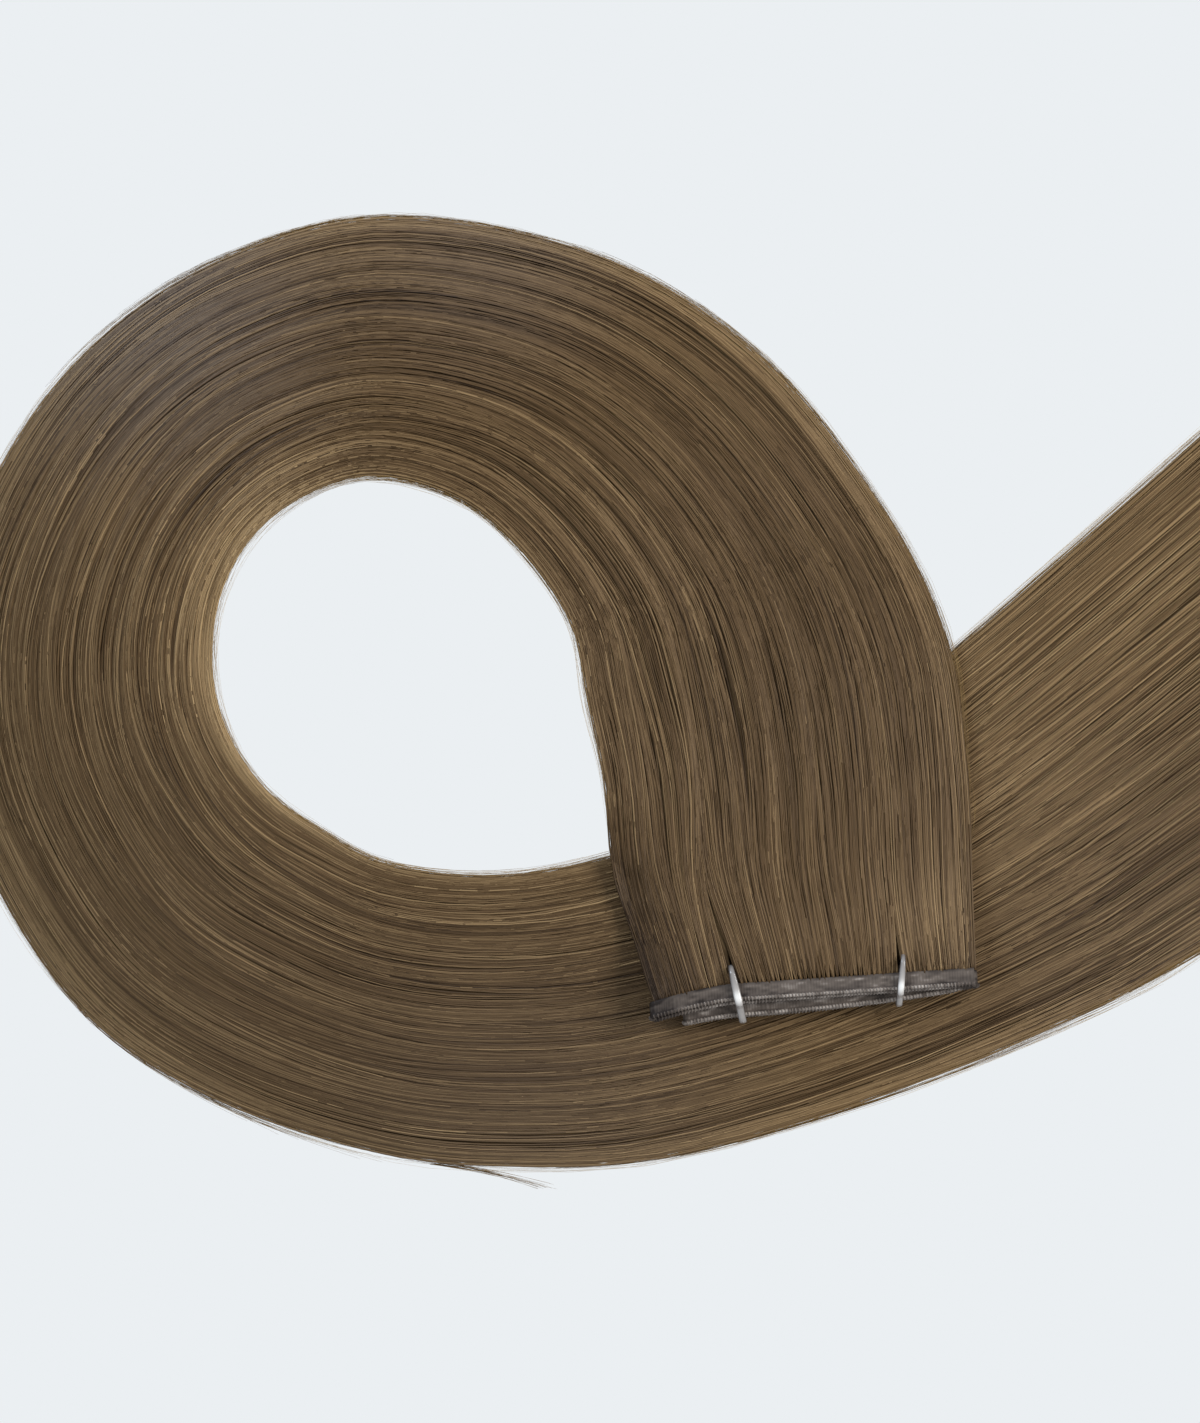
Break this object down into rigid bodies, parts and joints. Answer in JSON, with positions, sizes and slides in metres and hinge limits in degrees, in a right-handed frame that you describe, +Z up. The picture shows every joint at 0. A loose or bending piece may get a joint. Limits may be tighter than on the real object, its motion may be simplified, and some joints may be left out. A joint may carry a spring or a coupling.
{
  "type": "hair weft",
  "caption": "Weft of long straight light-brown hair laid in a flat coil, its sewn band folded into a stack and held by silver ties.",
  "frame": {"origin": "on the table under the middle of the whole outline", "axes": "+X along the longest side, from the coil to the free ends; +Y from the band up into the hair; +Z up off the table"},
  "size_m": [0.3253, 0.2193, 0.0132],
  "materials": {
    "hair": "fine straight light-brown strands with a soft satin sheen along them",
    "band": "taupe sewn strip with fine stitches and a paler lower edge",
    "tie": "silver-white, pearly"
  },
  "bodies": {
    "root": {"weft_band": "band", "hair_inner_lock_root": "hair", "hair_inner_lock_end": "hair", "hair_middle_lock_root": "hair", "hair_middle_lock_end": "hair", "hair_outer_lock_root": "hair", "hair_outer_lock_end": "hair", "tie_left": "tie", "tie_right": "tie"}
  },
  "joints": []
}
